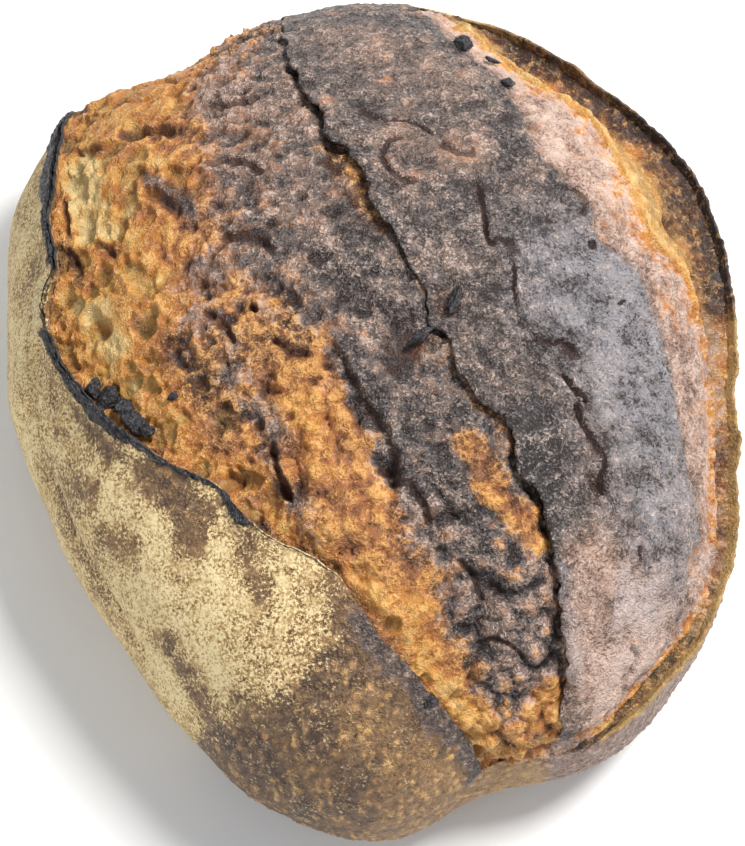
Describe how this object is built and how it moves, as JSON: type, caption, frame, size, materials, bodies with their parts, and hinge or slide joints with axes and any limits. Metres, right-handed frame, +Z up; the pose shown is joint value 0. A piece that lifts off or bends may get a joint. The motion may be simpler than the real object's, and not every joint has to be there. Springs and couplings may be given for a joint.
{
  "type": "sourdough loaf",
  "caption": "Whole oval sourdough loaf with a flat base, floured sides, two raised ears and a torn, boldly baked top crust",
  "frame": {"origin": "middle of the flat base, on the surface that the loaf stands on", "axes": "+X across the loaf, towards the right ear; +Y along the loaf, towards its far end; +Z up"},
  "size_m": [0.2234, 0.2698, 0.0938],
  "materials": {
    "torn_crust": "torn, blistered crust from golden crumb through brown to dark grey-brown, low sheen",
    "floured_skin": "smooth dough skin dusted with rice flour, matt, dark brown where bare",
    "burnt_edge": "charred crust edge, black with a dull grey sheen"
  },
  "bodies": {
    "root": {"loaf": "torn_crust"}
  },
  "joints": []
}
